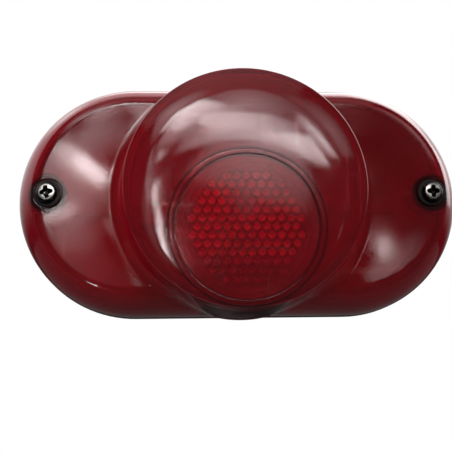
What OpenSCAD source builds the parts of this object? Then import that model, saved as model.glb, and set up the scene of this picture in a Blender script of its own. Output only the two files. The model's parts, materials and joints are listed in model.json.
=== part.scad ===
// Motorcycle tail light: a pill-shaped red lens with a round drum and reflex reflector,
// on a cast base with a bayonet lamp holder.
// The back of the base lies in the plane y = 0, the lens looks along -Y and +Z is up.

/* [Lens] */
// Overall width of the lens
lens_w = 156; // [150:1:170]
// Overall height of the lens, twice the radius of its round ends
lens_t = 82.4; // [80:0.2:86]
// Height of the wings' edge above the lens's rim plane
skirt_h = 15; // [13:0.5:17]
// How far the skirt draws in from the rim to the wings' edge
skirt_in = 7; // [5:0.5:8]
// Rise of the wings' middle above their edge
wing_crown = 1; // [0.5:0.1:2]
// Wall of the lens moulding
lens_wall = 2.6; // [2.2:0.1:3]

/* [Drum] */
// Diameter of the drum at its front rim
drum_d = 80.2; // [78:0.2:81]
// Height of the drum's front rim above the lens's rim plane
drum_h = 34; // [32:0.5:37]
// How far the drum's axis lies below the middle of the lens
drum_drop = 1.7; // [1:0.1:2]
// How much the drum's radius grows from its front rim to the rim plane
drum_draft = 0.6; // [0.4:0.1:1]
// Radius of the fillet where the drum meets the wings
foot_r = 5.5; // [4:0.5:7]
// Slope of the conical band inside the front rim, in degrees
shoulder_slope = 24.5; // [20:0.5:30]
// Radius of the arc that domes the drum's face
dome_r = 85; // [80:1:95]

/* [Reflex reflector] */
// Diameter of the reflector disc
disc_d = 47; // [44:0.2:47.6]
// Thickness of the disc in front of its prisms
disc_t = 2.4; // [2:0.1:3]
// Width of the raised ring round the disc
disc_ring_w = 1.7; // [1.2:0.1:2]
// Step of the raised ring above the domed face
disc_step = 0.5; // [0.3:0.1:0.8]
// Height of the disc's centre above the lens's rim plane
disc_h = 36.2; // [35.5:0.1:37]
// Gap between the raised ring and the drum's front rim, below the disc
ring_margin = 0.6; // [0.5:0.1:1.5]
// Downward tilt of the disc, in degrees
disc_tilt = 4.25; // [3:0.25:5]
// Width of one hexagonal prism across its flats
prism_w = 3.45; // [3.2:0.05:3.6]
// Radius of the field that holds the prisms' centres
prism_field_r = 18.2; // [14:0.2:18.2]
// Width of the ledge that carries the disc and its backing
ledge_w = 2.8; // [2:0.1:3]
// Depth of the ledge behind the disc
ledge_t = 3.4; // [3.2:0.1:4]
// Thickness of the backing cover
backing_t = 1.2; // [1:0.1:1.6]

/* [Number plate window] */
// Half of the window's angle round the drum's axis, in degrees
window_half = 20; // [14:1:24]
// Edge of the window above the lens's rim plane
window_edge = 4; // [3:0.5:6]
// Length of the window along the drum
window_len = 20; // [14:1:22]

/* [Base] */
// Distance from the mounting face to the lens's rim plane
seat_h = 20; // [19:0.5:22]
// Thickness of the base's floor
floor_t = 2.4; // [2:0.1:3]
// Wall of the base
base_wall = 2.2; // [2:0.1:2.6]
// Radius of the base's round ends at the mounting face
base_r = 35.5; // [34:0.5:36]
// Thickness of the base's flange
flange_t = 2.5; // [2:0.1:3]
// Thickness of the lens gasket
gasket_t = 2; // [1.5:0.1:2.5]

/* [Fastening] */
// Distance from each end of the lens to its screw
screw_inset = 11.5; // [11:0.1:12.5]
// Diameter of the lens screws' thread
screw_d = 4; // [3.5:0.1:4.5]
// Length of the lens screws under the head
screw_len = 14; // [13:0.5:15]
// Diameter of the screw heads
head_d = 7.2; // [6.8:0.1:7.6]
// Diameter of the base's screw posts
post_d = 12; // [11:0.2:13]
// Outer diameter of the sealing washers
washer_d = 9.6; // [9:0.1:10]
// Thickness of the sealing washers
washer_t = 1.1; // [0.8:0.1:1.4]
// Distance between the two mounting studs
stud_pitch = 62; // [58:1:70]
// Diameter of the mounting studs
stud_d = 6; // [5:0.5:8]
// Length of the studs behind the mounting face
stud_len = 20; // [15:1:30]

/* [Lamp holder and bulb] */
// Height of the lamp's axis above the middle of the lens
lamp_rise = 10; // [9.5:0.5:11]
// Height of the bulb's contacts above the mounting face
bulb_foot = 2; // [1.5:0.1:2.5]
// Diameter of the bayonet cap
cap_d = 15; // [14.8:0.1:15.2]
// Length of the bayonet cap
cap_len = 18; // [17:0.5:19]
// Diameter of the bulb's glass
glass_d = 25; // [23:0.5:26]
// Overall length of the bulb
bulb_len = 48; // [46:0.5:48.5]
// Height of the nearer bayonet pin above the bulb's contacts
pin_rise = 6.8; // [6.5:0.1:7.2]
// Distance along the cap between the two offset pins
pin_offset = 3; // [2.8:0.1:3.2]
// Diameter of the bayonet pins
pin_d = 2; // [1.8:0.1:2.1]
// Travel of the bulb when it is pressed in
press = 2.5; // [2:0.1:2.8]
// Turn between the slots' entry and the seats, in degrees
slot_turn = 28; // [24:1:34]
// Wall of the lamp-holder shell
shell_t = 0.6; // [0.5:0.1:0.8]
// Length of the socket spring at rest
spring_len = 8; // [7:0.5:9]
// Wire of the socket spring
spring_wire = 0.8; // [0.6:0.1:0.9]
// Turns of the socket spring
spring_turns = 4.5; // [3.5:0.5:5]
// Bore of the boot for the cable
cable_bore = 6; // [5:0.5:7]

/* [Fits] */
// Clearance between pieces that slide
slide_gap = 0.07; // [0.05:0.01:0.1]
// Gap round bonded and seated pieces
bond_gap = 0.05; // [0.03:0.01:0.1]

/* [Hidden] */
$fn = 96;
big = 200;

// Lens outline: the round ends' radius and the distance of their centres from the middle
end_r = lens_t / 2;
end_x = (lens_w - lens_t) / 2;
skirt_r = (skirt_h * skirt_h + skirt_in * skirt_in) / (2 * skirt_in);
skirt_steps = 10;
crown_steps = 5;
drum_r = drum_d / 2;
drum_top = drum_h + drum_r * tan(shoulder_slope);
dome_steps = 8;
disc_r = disc_d / 2;
ring_r = disc_r + disc_ring_w;
disc_drop = drum_drop + drum_r - ring_margin - ring_r;
dome_reach = drum_r + disc_drop;
ring_chamfer = disc_step;
disc_edge = 0.5;
backing_r = disc_r - 0.9;
ledge_r = disc_r - ledge_w;
ledge_out = ring_r + 1;

// Hexagonal cube-corner prisms: a cell's cube edge and the heights of its rim above its tip
cube_edge = prism_w / sqrt(2);
near_rim = cube_edge / sqrt(3);
far_rim = 2 * near_rim;
cell_r = prism_w / sqrt(3);
prism_root = 0.15;
prism_sunk = 0.5;
cells = ceil(prism_field_r / prism_w) + 1;

// Screws: the wing's height over the screw, the counterbore's floor and the post's top
screw_x = lens_w / 2 - screw_inset;
wing_over_screw = seat_h + skirt_h + crown_at(screw_x - end_x);
counterbore_h = wing_over_screw - 0.85;
under_head = counterbore_h + washer_t;
lens_boss_t = 2.6;
post_h = wing_over_screw - lens_wall - lens_boss_t;

// Lamp holder
pin_reach = 1;
shell_in = cap_d / 2 + 0.25;
shell_out = shell_in + shell_t;
shell_mouth = bulb_foot + cap_len - 2;
pin_hi = bulb_foot + pin_rise + pin_offset;
pin_lo = bulb_foot + pin_rise;
slot_w = pin_d + 0.4;
flange_top = pin_lo - press - slot_w / 2 - 0.45;
socket_flange_t = 1;
flange_h = flange_top - socket_flange_t;
dish_t = 0.8;
carrier_t = 5;
plunger_rise = 0.6;
carrier_top = bulb_foot - plunger_rise;
spring_top = carrier_top - carrier_t;
spring_foot = spring_top - spring_len;
end_plate_t = 1.5;
shell_end = spring_foot - end_plate_t - 1;
boot_r = shell_out + 2.1;
boot_hole_r = boot_r + 0.5;
boot_end = shell_end - 5;
contact_x = 3.2;
plunger_d = 1.8;
coil_r = 6.2;
boot_wall = 3.5;
snout_len = 4;
rivet_head_d = 5.2;
rivet_sunk = 1.4;
rivet_d = 2.8;
rivet_recess_d = rivet_head_d + 0.8;
rivet_x = boot_hole_r + rivet_recess_d / 2 + 0.6;
plate_r = rivet_x + rivet_head_d / 2 + 0.7;
dish_hole_r = cap_d / 2 + pin_reach + 0.7;
dish_r = 23.6;
dish_rise = 11.5;

// Bulb
cap_wall = 0.4;
button_h = 0.8;
glass_wall = 0.6;
neck_r = cap_d / 2 - cap_wall - 0.1;
glass_foot = 12;
glass_steps = 24;
stem_h = 13;

// Base: its flange, the lip that centres the lens and its bosses
flange_hi = seat_h - gasket_t;
flange_lo = flange_hi - flange_t;
lip_out = end_r - lens_wall - 0.5;
lip_in = lip_out - 1.8;
lip_h = seat_h + 1.5;
rib_t = 1.6;
stud_boss_r = 7;
stud_boss_h = 5.5;
stud_shank_d = stud_d + 1;
post_gap = 0.3;

// Height of the wings' crown at a distance from the lens's long axis
function crown_at(r) = wing_crown * (1 - pow(min(1, r / (end_r - skirt_in)), 2));

// The pill's section from its rim to its middle, offset inwards by a wall w
function skirt_points(w) = let (last = asin((skirt_h - w) / (skirt_r - w)))
    [for (i = [0:skirt_steps]) let (a = last * i / skirt_steps)
        [end_r - skirt_r + (skirt_r - w) * cos(a), (skirt_r - w) * sin(a)]];
function crown_points(w) = let (edge = skirt_points(w)[skirt_steps][0])
    [for (i = [1:crown_steps]) let (r = edge * (1 - i / crown_steps))
        [r, skirt_h - w + wing_crown * (1 - pow(r / edge, 2))]];
function pill_section(w) = concat([[0, w > 0 ? -1 : 0], [end_r - w, w > 0 ? -1 : 0]],
    skirt_points(w), crown_points(w));

// The domed face's section from the disc's axis outwards, lowered by a wall w
function dome_section(w) = concat([[0, -big / 2], [0, disc_step - w], [ring_r, disc_step - w],
    [ring_r + ring_chamfer, -w]],
    [for (i = [1:dome_steps]) let (d = (dome_reach - ring_r) * i / dome_steps)
        [ring_r + ring_chamfer + d, sqrt(dome_r * dome_r - d * d) - dome_r - w]],
    [[dome_reach + ring_chamfer + 5, -big / 2]]);

// The dish's inner face at a share u of its width, raised by a thickness
function dish_at(u, t) = [plate_r + (dish_r - plate_r) * u, dish_rise * u * u + t];

// The bulb's glass at a share u of its length from the neck to the tip, thinned by a wall
function glass_at(u, t) = let (r = glass_d / 2, ball = bulb_len - r, swell = ball - cap_len)
    u < 0.5 ? let (v = 2 * u) [neck_r + (r - neck_r) * (1 - cos(180 * v)) / 2 - t, cap_len + swell * v]
    : let (a = 180 * (u - 0.5)) [(r - t) * cos(a), ball + (r - t) * sin(a)];
function glass_points(t) = [for (i = [0:glass_steps]) glass_at(i / glass_steps, t)];

// Stands its children's z axis out of the mounting face, towards the lens
module outward(h = 0) {
    rotate([90, 0, 0]) translate([0, 0, h]) children();
}

// Places its children on the reflector disc's own plane and axis
module on_disc() {
    outward(seat_h) translate([0, -disc_drop, disc_h]) rotate([disc_tilt, 0, 0]) children();
}

// Places its children on the lamp's axis
module on_lamp(h = 0) {
    outward() translate([0, lamp_rise, h]) children();
}

module at_both(x) {
    for (side = [-1, 1]) translate([side * x, 0, 0]) children();
}

// A plate with the lens's outline, r in radius
module pill_plate(r, h) {
    linear_extrude(h) {
        translate([-end_x, -r]) square([2 * end_x, 2 * r]);
        for (side = [-1, 1]) translate([side * end_x, 0]) circle(r);
    }
}

// A solid whose section across the pill is the same all the way round
module pill_sweep(section) {
    for (side = [-1, 1]) translate([side * end_x, 0, 0]) rotate([0, 0, side * 90 + 180])
        rotate_extrude(angle = 180) polygon(section);
    for (flip = [0, 180]) rotate([0, 0, flip]) translate([-end_x, 0, 0]) rotate([90, 0, 90])
        linear_extrude(2 * end_x) polygon(section);
}

module drum(w) {
    translate([0, -drum_drop, 0]) rotate_extrude() polygon([[0, w > 0 ? -1 : 0],
        [drum_r + drum_draft - w, w > 0 ? -1 : 0], [drum_r - w, drum_h - w / 2],
        [0, drum_top - w]]);
}

// The fillet at the drum's foot, ending on the skirt's curve carried on over the wing
module drum_foot() {
    foot_h = skirt_h + wing_crown;
    intersection() {
        translate([0, -drum_drop, 0]) rotate_extrude() polygon(concat([[0, skirt_h - lens_wall]],
            [[drum_r + foot_r, skirt_h - lens_wall]],
            [for (i = [0:8]) let (a = 90 * i / 8)
                [drum_r + foot_r * (1 - sin(a)) + drum_draft / 2, foot_h + foot_r * (1 - cos(a))]],
            [[0, foot_h + foot_r]]));
        pill_sweep(concat([[0, 0]], [for (i = [0:12]) let (a = i * 6.5)
            [end_r - skirt_r + skirt_r * cos(a), skirt_r * sin(a)]], [[0, skirt_r * sin(78)]]));
    }
}

module lens_outside() {
    outward(seat_h) {
        pill_sweep(pill_section(0));
        drum_foot();
    }
    intersection() {
        outward(seat_h) drum(0);
        on_disc() rotate_extrude() polygon(dome_section(0));
    }
}

module lens_inside() {
    outward(seat_h) pill_sweep(pill_section(lens_wall));
    intersection() {
        outward(seat_h) drum(lens_wall);
        on_disc() rotate_extrude() polygon(dome_section(lens_wall));
    }
}

// The sector of the drum's underside that the window fills, shrunk by a gap
module window_sector(gap) {
    half = window_half - gap / drum_r * 180 / PI;
    outward(seat_h + window_edge + gap) translate([0, -drum_drop, 0]) rotate([0, 0, -90 - half])
        rotate_extrude(angle = 2 * half)
            translate([drum_r - lens_wall + gap / 2, 0]) square([2 * lens_wall, window_len - 2 * gap]);
}

module lens() color([0.43, 0.02, 0.06]) difference() {
    lens_outside();
    difference() {
        lens_inside();
        outward(post_h + bond_gap) at_both(screw_x) cylinder(d = post_d + 3, h = skirt_h);
        on_disc() translate([0, 0, disc_step - disc_t - ledge_t]) cylinder(r = ledge_out, h = drum_h);
    }
    outward(post_h - 1) at_both(screw_x) cylinder(d = screw_d + 0.5, h = skirt_h);
    outward(counterbore_h) at_both(screw_x) cylinder(d = washer_d + 0.6, h = skirt_h);
    on_disc() translate([0, 0, disc_step - disc_t]) cylinder(r = disc_r + bond_gap, h = 2 * disc_t);
    on_disc() translate([0, 0, -drum_h / 2]) cylinder(r = ledge_r, h = drum_h);
    on_disc() translate([0, 0, disc_step - disc_edge])
        cylinder(r1 = disc_r, r2 = disc_r + disc_edge + 0.1, h = disc_edge + 0.1);
    window_sector(0);
}

module plate_window() color([0.85, 0.87, 0.85, 0.5]) intersection() {
    lens_outside();
    window_sector(bond_gap);
}

// Prism corners on a half-step lattice, so that neighbouring prisms share theirs exactly
corner_steps = [[1, 1], [0, 2], [-1, 1], [-1, -1], [0, -2], [1, -1]];
// The neighbour across the edge from corner k to corner k + 1
neighbours = [[0, 1], [-1, 1], [-1, 0], [0, -1], [1, -1], [1, 0]];
function middle(c) = [2 * c[0] + c[1], 3 * c[1]];
function place(q, h) = [q[0] * prism_w / 2, q[1] * cell_r / 2, h];
function in_field(c) = norm(place(middle(c), 0)) <= prism_field_r;
function rim_at(k) = k % 2 == 0 ? near_rim : far_rim;

// The field of cube-corner prisms: each has its tip at the back and a rim that rises and falls
module prism_field() {
    roof_h = far_rim + prism_root + prism_sunk;
    field = [for (j = [-cells:cells]) for (i = [-2 * cells:2 * cells]) if (in_field([i, j])) [i, j]];
    points = [for (c = field) each concat([place(middle(c), 0)],
        [for (k = [0:5]) place(middle(c) + corner_steps[k], rim_at(k))],
        [for (k = [0:5]) place(middle(c) + corner_steps[k], roof_h)])];
    faces = [for (n = [0:len(field) - 1]) let (o = 13 * n) each concat(
        [for (k = [0, 2, 4]) [o, o + 1 + k, o + 2 + k, o + 1 + (k + 2) % 6]],
        [[for (k = [5:-1:0]) o + 7 + k]],
        [for (k = [0:5]) if (!in_field(field[n] + neighbours[k]))
            [o + 1 + k, o + 7 + k, o + 7 + (k + 1) % 6, o + 1 + (k + 1) % 6]])];
    polyhedron(points, faces);
}

module reflex_reflector() color([0.55, 0.02, 0.06]) on_disc() translate([0, 0, disc_step - disc_t]) {
    cylinder(r = disc_r, h = disc_t - disc_edge);
    translate([0, 0, disc_t - disc_edge]) cylinder(r1 = disc_r, r2 = disc_r - disc_edge, h = disc_edge);
    translate([0, 0, -far_rim - prism_root]) prism_field();
}

module reflector_backing() color([0.75, 0.74, 0.7]) on_disc()
    translate([0, 0, disc_step - disc_t - ledge_t - backing_t - bond_gap]) {
        cylinder(r = backing_r, h = backing_t);
        difference() {
            cylinder(r = ledge_r - bond_gap, h = backing_t + 0.4);
            translate([0, 0, backing_t]) cylinder(r = ledge_r - 1.2, h = 2);
        }
    }

// The base's section across the pill, outside and inside
module base_outside() {
    pill_sweep([[0, 0], [base_r, 0], [lip_in + base_wall, flange_lo], [end_r, flange_lo],
        [end_r, flange_hi], [lip_out, flange_hi], [lip_out, lip_h], [0, lip_h]]);
}

module base_inside() {
    pill_sweep([[0, floor_t], [base_r - base_wall, floor_t], [lip_in, flange_hi], [lip_in, lip_h + 1],
        [0, lip_h + 1]]);
}

// The posts under the lens screws, cut back where the lens's skirt curves in
module screw_posts() {
    intersection() {
        at_both(screw_x) cylinder(d = post_d, h = post_h);
        union() {
            pill_plate(end_r, seat_h - 0.5);
            translate([0, 0, seat_h]) pill_sweep(pill_section(lens_wall + post_gap));
        }
    }
}

module base_housing() color([0.13, 0.13, 0.14]) outward() difference() {
    union() {
        difference() {
            base_outside();
            base_inside();
        }
        screw_posts();
        at_both(stud_pitch / 2) cylinder(r = stud_boss_r, h = stud_boss_h);
        for (side = [-1, 1]) translate([side * (screw_x + stud_pitch / 2) / 2, 0, stud_boss_h / 2])
            cube([(screw_x - stud_pitch / 2) - post_d / 2, rib_t, stud_boss_h], center = true);
        for (x = [-1, 1] * stud_pitch / 2) translate([x, 0, stud_boss_h / 2 - 0.5])
            cube([rib_t, 2 * (base_r - base_wall), stud_boss_h - 1], center = true);
        translate([0, lamp_rise, 0]) cylinder(r = plate_r, h = flange_h);
    }
    at_both(screw_x) translate([0, 0, under_head - screw_len - 1])
        cylinder(d = screw_d + 2 * slide_gap, h = screw_len);
    at_both(stud_pitch / 2) translate([0, 0, -1]) cylinder(d = stud_shank_d + 2 * bond_gap, h = big);
    translate([0, lamp_rise, -1]) cylinder(r = boot_hole_r, h = big);
    translate([0, lamp_rise, -1]) at_both(rivet_x) {
        cylinder(d = rivet_d + 2 * bond_gap, h = big);
        cylinder(d = rivet_recess_d, h = rivet_sunk + 1);
    }
}

module mounting_studs() color([0.66, 0.66, 0.63]) outward() at_both(stud_pitch / 2) {
    translate([0, 0, 1 - stud_len]) cylinder(d = stud_d, h = stud_len - 1);
    cylinder(d = stud_shank_d, h = stud_boss_h);
    translate([0, 0, -stud_len]) cylinder(d1 = stud_d - 2, d2 = stud_d, h = 1);
    translate([0, 0, stud_boss_h]) cylinder(r = stud_boss_r - 1.2, h = 1.6);
}

module lens_gasket() color([0.08, 0.08, 0.08]) outward(flange_hi) difference() {
    pill_plate(end_r - 0.2, gasket_t);
    translate([0, 0, -1]) pill_plate(lip_out + 0.1, gasket_t + 2);
}

// A pan-head screw with a cross recess, standing at x and turned by an angle
module lens_screw(x, turn) color([0.62, 0.61, 0.58]) outward() translate([x, 0, under_head]) {
    head_h = 2.5;
    edge_h = 1;
    difference() {
        rotate_extrude() polygon(concat([[0, 0], [head_d / 2, 0]], [for (i = [0:6]) let (a = 15 * i)
            [head_d / 2 - 1.5 * (1 - cos(a)), edge_h + (head_h - edge_h) * sin(a)]], [[0, head_h]]));
        for (arm = [0, 90]) rotate([0, 0, turn + arm]) translate([0, 0, head_h])
            cube([head_d * 0.6, 0.95, 2.8], center = true);
    }
    translate([0, 0, -screw_len + 1]) cylinder(d = screw_d, h = screw_len - 1);
    translate([0, 0, -screw_len]) cylinder(d1 = screw_d - 1.6, d2 = screw_d, h = 1);
}

module screw_washer(x) color([0.05, 0.05, 0.05]) outward(counterbore_h) translate([x, 0, 0]) difference() {
    cylinder(d = washer_d, h = washer_t);
    translate([0, 0, -1]) cylinder(d = screw_d + 0.3, h = washer_t + 2);
}

// The dish's section: flat under the rivets, then rising like a bowl
module bulb_reflector() color([0.78, 0.78, 0.76]) on_lamp(flange_top) difference() {
    rotate_extrude() polygon(concat([[dish_hole_r, 0]], [for (i = [0:8]) dish_at(i / 8, 0)],
        [[dish_r + dish_t, dish_rise + 0.3], [dish_r + dish_t, dish_rise + dish_t + 0.6]],
        [for (i = [8:-1:0]) dish_at(i / 8, dish_t)], [[dish_hole_r, dish_t]]));
    at_both(rivet_x) translate([0, 0, -1]) cylinder(d = rivet_d + 2 * bond_gap, h = 5);
}

module socket_flange() color([0.7, 0.68, 0.6]) on_lamp(flange_h) difference() {
    cylinder(r = plate_r - 0.4, h = socket_flange_t);
    translate([0, 0, -1]) cylinder(r = shell_out + bond_gap, h = socket_flange_t + 2);
    at_both(rivet_x) translate([0, 0, -1]) cylinder(d = rivet_d + 2 * bond_gap, h = 5);
}

module socket_rivets() color([0.72, 0.7, 0.66]) on_lamp() at_both(rivet_x) {
    top = flange_top + dish_t;
    translate([0, 0, rivet_sunk]) cylinder(d = rivet_d, h = top - rivet_sunk);
    translate([0, 0, rivet_sunk - 1]) cylinder(d = rivet_head_d, h = 1);
    translate([0, 0, top]) rotate_extrude() polygon(concat([[0, 0]],
        [for (i = [0:6]) [rivet_head_d / 2 * cos(15 * i), 1.3 * sin(15 * i)]]));
}

// One J slot: a seat for the pin, a leg across at the pressed level and an entry from the mouth.
// The leg runs a little past both, as a pressed slot does.
module j_slot(level) {
    low = level - press - slot_w / 2;
    reach = shell_t + 2;
    over = asin(slot_w / 2 / shell_in) + 1;
    rotate([0, 0, -over]) translate([0, 0, low]) rotate_extrude(angle = slot_turn + 2 * over)
        translate([shell_in - 1, 0]) square([reach, slot_w]);
    translate([shell_in - 1, -slot_w / 2, low + slot_w / 2])
        cube([reach, slot_w, press + pin_d / 2 + slide_gap]);
    rotate([0, 0, slot_turn]) translate([shell_in - 1, -slot_w / 2, low + slot_w / 2])
        cube([reach, slot_w, big]);
}

module socket_shell() color([0.72, 0.66, 0.45]) on_lamp() difference() {
    rotate([0, 0, 90]) rotate_extrude() polygon([[shell_in - 1, shell_end], [shell_out, shell_end],
        [shell_out, shell_mouth], [shell_in, shell_mouth], [shell_in, shell_end + 1],
        [shell_in - 1, shell_end + 1]]);
    j_slot(pin_hi);
    rotate([0, 0, 180]) j_slot(pin_lo);
}

module contact_carrier() color([0.35, 0.2, 0.1]) on_lamp() difference() {
    union() {
        translate([0, 0, spring_top]) cylinder(r = shell_in - slide_gap, h = carrier_t);
        translate([0, 0, spring_top - 1.2]) cylinder(r = coil_r - spring_wire / 2 - 0.2, h = 2);
    }
    at_both(contact_x) translate([0, 0, spring_top - 3])
        cylinder(d = plunger_d + 2 * bond_gap, h = carrier_t + 5);
}

module contact_plungers() color([0.8, 0.62, 0.25]) on_lamp() at_both(contact_x) {
    translate([0, 0, spring_top - 4]) cylinder(d = plunger_d, h = carrier_t + 4);
    translate([0, 0, carrier_top]) cylinder(d = plunger_d + 1.4, h = plunger_rise);
}

// Height of the spring's wire after a share u of its turns: flat at both ends, rising between them
function coil_rise(u) = let (flat = 0.6 / spring_turns, v = (u - flat) / (1 - 2 * flat))
    spring_wire / 2 + (spring_len - spring_wire) * min(1, max(0, v));

module socket_spring() color([0.6, 0.6, 0.6]) on_lamp(spring_foot) {
    per_turn = 16;
    sides = 6;
    rings = round(spring_turns * per_turn);
    points = [for (n = [0:rings]) for (k = [0:sides - 1])
        let (a = 360 * n / per_turn, b = 360 * k / sides, r = coil_r + spring_wire / 2 * cos(b))
        [r * cos(a), r * sin(a), coil_rise(n / rings) + spring_wire / 2 * sin(b)]];
    faces = concat([[for (k = [0:sides - 1]) k]],
        [for (n = [0:rings - 1]) for (k = [0:sides - 1]) let (o = n * sides, q = (k + 1) % sides)
            each [[o + k, o + sides + k, o + q], [o + q, o + sides + k, o + sides + q]]],
        [[for (k = [sides - 1:-1:0]) rings * sides + k]]);
    polyhedron(points, faces);
}

module socket_end_plate() color([0.4, 0.24, 0.12]) on_lamp(spring_foot - end_plate_t) difference() {
    cylinder(r = shell_in - bond_gap, h = end_plate_t);
    at_both(contact_x) translate([0, 0, -1]) cylinder(d = plunger_d + 1.6, h = end_plate_t + 2);
}

module rear_boot() color([0.07, 0.07, 0.07]) on_lamp() difference() {
    union() {
        translate([0, 0, boot_end + 1.5]) cylinder(r = boot_r, h = flange_h - bond_gap - boot_end - 1.5);
        translate([0, 0, boot_end]) cylinder(r1 = boot_r - 1.5, r2 = boot_r, h = 1.5);
        translate([0, 0, boot_end - snout_len]) cylinder(d = cable_bore + 3.4, h = snout_len + 1);
    }
    translate([0, 0, boot_end + boot_wall]) cylinder(r = shell_out + bond_gap, h = big);
    translate([0, 0, boot_end - snout_len - 1]) cylinder(d = cable_bore, h = big);
}

module bulb_cap() color([0.76, 0.68, 0.42]) on_lamp() difference() {
    translate([0, 0, bulb_foot + button_h]) cylinder(d = cap_d, h = cap_len - button_h);
    translate([0, 0, bulb_foot + button_h - 1]) cylinder(d = cap_d - 2 * cap_wall, h = cap_len + 2);
    bayonet_pins(bond_gap);
}

// The two offset pins, grown by a gap to cut their holes
module bayonet_pins(gap) {
    for (pin = [[0, pin_hi], [180, pin_lo]]) rotate([0, 0, pin[0]]) translate([0, 0, pin[1]])
        rotate([0, 90, 0]) translate([0, 0, cap_d / 2 - 1.2])
            cylinder(d = pin_d + 2 * gap, h = pin_reach + 1.2 + (gap > 0 ? 1 : 0));
}

module bulb_pins() color([0.8, 0.72, 0.45]) on_lamp() bayonet_pins(0);

module bulb_insulator() color([0.1, 0.08, 0.08]) on_lamp(bulb_foot + button_h)
    cylinder(d = cap_d - 2 * cap_wall - 2 * bond_gap, h = 1.6);

module bulb_contacts() color([0.7, 0.7, 0.68]) on_lamp(bulb_foot) at_both(contact_x)
    rotate_extrude() polygon(concat([[0, 0]], [for (i = [0:5])
        [0.8 + 0.9 * sin(18 * i), (button_h) * (1 - cos(18 * i))]], [[0, button_h]]));

module bulb_glass() color([0.9, 0.92, 0.9, 0.4]) on_lamp(bulb_foot) rotate_extrude()
    polygon(concat([[neck_r - glass_wall, glass_foot], [neck_r, glass_foot]], glass_points(0),
        [for (i = [glass_steps:-1:0]) glass_at(i / glass_steps, glass_wall)]));

module bulb_stem() color([0.85, 0.88, 0.86, 0.5]) on_lamp(bulb_foot + glass_foot) {
    rotate_extrude() polygon([[0, 0], [neck_r - glass_wall - bond_gap, 0],
        [neck_r - glass_wall - bond_gap, 0.8], [2.2, 5], [2.2, stem_h], [0, stem_h]]);
    translate([0, 0, stem_h - 1.5]) cube([7.2, 2.4, 5], center = true);
}

// Each filament's place: half its length, its side offset and its height above the bulb's foot
stop_coil = [2.8, -1.2, 36];
tail_coil = [2.2, 2.4, 33.5];

module filament_supports() color([0.55, 0.5, 0.45]) on_lamp(bulb_foot) for (coil = [stop_coil, tail_coil])
    at_both(coil[0]) {
        stem_top = glass_foot + stem_h + 1;
        translate([0, coil[1], stem_top]) cylinder(d = 0.6, h = coil[2] - stem_top + 0.6);
        translate([0, 0, stem_top]) rotate([0, 90, 90]) translate([-0.3, 0, min(0, coil[1])])
            cylinder(d = 0.6, h = abs(coil[1]));
    }

module filament(coil, d) color([0.3, 0.3, 0.32]) on_lamp(bulb_foot)
    translate([0.35 - coil[0], coil[1], coil[2]]) rotate([0, 90, 0]) cylinder(d = d, h = 2 * coil[0] - 0.7);

module tail_filament() filament(tail_coil, 0.8);
module stop_filament() filament(stop_coil, 1.1);
module lens_screw_left() lens_screw(-screw_x, 9);
module lens_screw_right() lens_screw(screw_x, 0);
module screw_washer_left() screw_washer(-screw_x);
module screw_washer_right() screw_washer(screw_x);

base_housing();
mounting_studs();
lens_gasket();
lens();
plate_window();
reflex_reflector();
reflector_backing();
lens_screw_left();
lens_screw_right();
screw_washer_left();
screw_washer_right();
bulb_reflector();
socket_flange();
socket_rivets();
socket_shell();
contact_carrier();
contact_plungers();
socket_spring();
socket_end_plate();
rear_boot();
bulb_cap();
bulb_pins();
bulb_insulator();
bulb_contacts();
bulb_glass();
bulb_stem();
filament_supports();
tail_filament();
stop_filament();
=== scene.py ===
# Motorcycle tail light: a red pill-shaped lens with a round drum, on a cast base.
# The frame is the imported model: metres, +Z up, the lens looks along -Y from the mounting face at y = 0.
import json
import math

import bmesh
import bpy
import numpy as np
from mathutils import Matrix, Vector


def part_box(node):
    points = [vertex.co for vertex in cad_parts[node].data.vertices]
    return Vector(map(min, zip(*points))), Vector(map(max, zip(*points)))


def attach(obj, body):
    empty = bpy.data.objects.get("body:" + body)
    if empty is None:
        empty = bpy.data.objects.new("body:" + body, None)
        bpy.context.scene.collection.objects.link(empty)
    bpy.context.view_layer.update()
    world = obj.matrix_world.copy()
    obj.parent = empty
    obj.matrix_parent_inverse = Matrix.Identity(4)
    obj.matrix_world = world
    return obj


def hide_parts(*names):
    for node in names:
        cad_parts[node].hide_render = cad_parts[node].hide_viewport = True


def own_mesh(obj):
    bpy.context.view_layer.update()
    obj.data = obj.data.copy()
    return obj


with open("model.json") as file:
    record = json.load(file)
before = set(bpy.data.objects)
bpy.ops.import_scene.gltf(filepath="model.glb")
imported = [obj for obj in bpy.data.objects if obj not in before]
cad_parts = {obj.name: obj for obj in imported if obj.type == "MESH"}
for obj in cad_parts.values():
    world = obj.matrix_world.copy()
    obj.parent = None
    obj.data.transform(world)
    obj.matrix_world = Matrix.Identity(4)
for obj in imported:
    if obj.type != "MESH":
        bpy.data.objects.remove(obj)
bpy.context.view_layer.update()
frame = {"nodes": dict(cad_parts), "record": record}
MM = 0.001

# Lens, in millimetres, as in the part's source. Lens coordinates are u = x, v = z and h, the height
# above the lens's rim plane, so y = -(SEAT + h).
SEAT = 20.0
END_R = 41.2
END_X = 36.8
SKIRT_H = 15.0
SKIRT_IN = 7.0
CROWN = 1.0
WALL = 2.6
DRUM_R = 40.1
DRUM_H = 34.0
DRUM_DROP = 1.7
DRAFT = 0.6
FOOT_R = 5.5
SHOULDER = math.radians(24.5)
DOME_R = 85.0
DISC_R = 23.5
RING_R = 25.2
RING_STEP = 0.5
DISC_T = 2.4
DISC_H = 36.2
DISC_DROP = 16.0
DISC_TILT = math.radians(4.25)
LEDGE_R = 20.7
LEDGE_T = 3.4
LEDGE_OUT = 26.2
WINDOW_HALF = math.radians(20.0)
WINDOW_EDGE = 4.0
WINDOW_LEN = 20.0
SCREW_X = 66.5
BOSS_R = 7.5
BORE_R = 2.25
COUNTERBORE_R = 5.1
GAP = 0.05

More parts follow.
